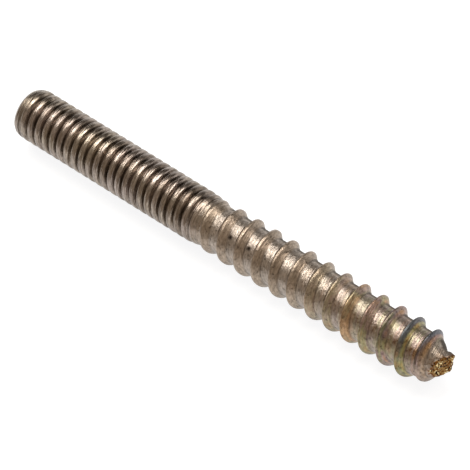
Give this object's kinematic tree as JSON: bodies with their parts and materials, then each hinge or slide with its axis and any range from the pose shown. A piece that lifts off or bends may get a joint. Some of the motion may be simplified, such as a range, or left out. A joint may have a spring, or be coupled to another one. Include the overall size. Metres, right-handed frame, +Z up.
{
  "type": "double-ended screw",
  "caption": "Steel rod with a machine thread on one half and a coarse wood thread on the other, for fixing a nut or fitting to timber; its point is broken off.",
  "frame": {"origin": "on the ground, under the middle of the screw's length", "axes": "+X along the screw towards the broken wood-thread tip, +Z up, with the screw lying on its side"},
  "size_m": [0.0873, 0.0094, 0.0093],
  "materials": {
    "plated_steel": "bright plated, worn and streaked"
  },
  "bodies": {
    "root": {"double_ended_screw": "plated_steel"}
  },
  "joints": []
}
